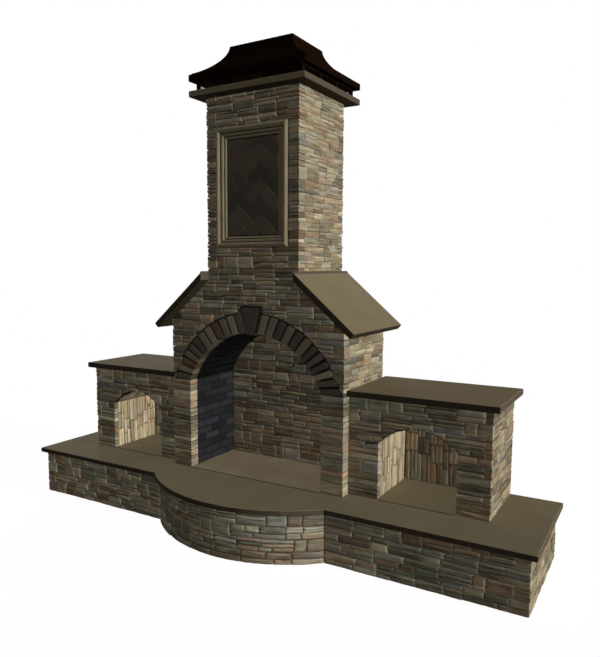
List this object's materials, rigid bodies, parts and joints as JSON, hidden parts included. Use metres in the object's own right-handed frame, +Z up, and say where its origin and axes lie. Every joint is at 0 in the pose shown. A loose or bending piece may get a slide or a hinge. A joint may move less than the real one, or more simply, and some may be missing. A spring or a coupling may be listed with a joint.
{
  "type": "outdoor fireplace",
  "caption": "Outdoor masonry fireplace: raised stone hearth with bowed front, arched firebox between two wood niches, stone shoulders, and a chimney with tiled panel and metal hood.",
  "frame": {"origin": "on the ground, under the middle of the overall box", "axes": "+Z up; +X to the right seen from the front, along the hearth; -Y is the front, towards the people at the fire; the fireplace is alike left and right of the plane X = 0"},
  "size_m": [4.808, 1.5873, 4.203],
  "materials": {
    "ledgestone": "split-face stacked ledgestone, mixed tan, brown and grey, matt",
    "niche_stone": "the same ledgestone laid upright inside the niches",
    "slab_stone": "honed brown limestone slabs, matt",
    "arch_stone": "cut arch stones in mixed grey and brown",
    "key_stone": "smooth dark keystone",
    "firebrick": "sooted charcoal firebrick",
    "block": "grey concrete block, hidden",
    "clay": "terracotta flue liner",
    "cast_moulding": "cast stone moulding, fine grain",
    "tile": "dark slate-coloured tile, satin",
    "dark_metal": "dark bronze powder coat"
  },
  "bodies": {
    "root": {"block_core": "block", "body_stone_front": "ledgestone", "body_stone_sides_and_back": "ledgestone", "chimney_cap": "slab_stone", "chimney_stone": "ledgestone", "firebox_back": "ledgestone", "firebox_floor": "slab_stone", "firebrick_left": "firebrick", "firebrick_right": "firebrick", "firebrick_vault": "firebrick", "flue_liner": "clay", "hearth_core": "block", "hearth_slab": "slab_stone", "hearth_stone_bay": "ledgestone", "hearth_stone_ends_and_back": "ledgestone", "hearth_stone_left": "ledgestone", "hearth_stone_right": "ledgestone", "keystone": "key_stone", "left_box_cap": "slab_stone", "left_box_core": "block", "left_box_stone": "ledgestone", "left_niche_lining": "niche_stone", "left_shoulder_slab": "slab_stone", "panel_frame_foot": "cast_moulding", "panel_frame_head": "cast_moulding", "panel_frame_left": "cast_moulding", "panel_frame_right": "cast_moulding", "panel_tiles": "tile", "right_box_cap": "slab_stone", "right_box_core": "block", "right_box_stone": "ledgestone", "right_niche_lining": "niche_stone", "right_shoulder_slab": "slab_stone", "shroud_hood": "dark_metal", "shroud_neck": "dark_metal", "spark_screen": "dark_metal", "voussoir_left_01": "arch_stone", "voussoir_left_02": "arch_stone", "voussoir_left_03": "arch_stone", "voussoir_left_04": "arch_stone", "voussoir_left_05": "arch_stone", "voussoir_left_06": "arch_stone", "voussoir_left_07": "arch_stone", "voussoir_left_08": "arch_stone", "voussoir_left_09": "arch_stone", "voussoir_left_10": "arch_stone", "voussoir_left_11": "arch_stone", "voussoir_left_12": "arch_stone", "voussoir_right_01": "arch_stone", "voussoir_right_02": "arch_stone", "voussoir_right_03": "arch_stone", "voussoir_right_04": "arch_stone", "voussoir_right_05": "arch_stone", "voussoir_right_06": "arch_stone", "voussoir_right_07": "arch_stone", "voussoir_right_08": "arch_stone", "voussoir_right_09": "arch_stone", "voussoir_right_10": "arch_stone", "voussoir_right_11": "arch_stone", "voussoir_right_12": "arch_stone"}
  },
  "joints": []
}
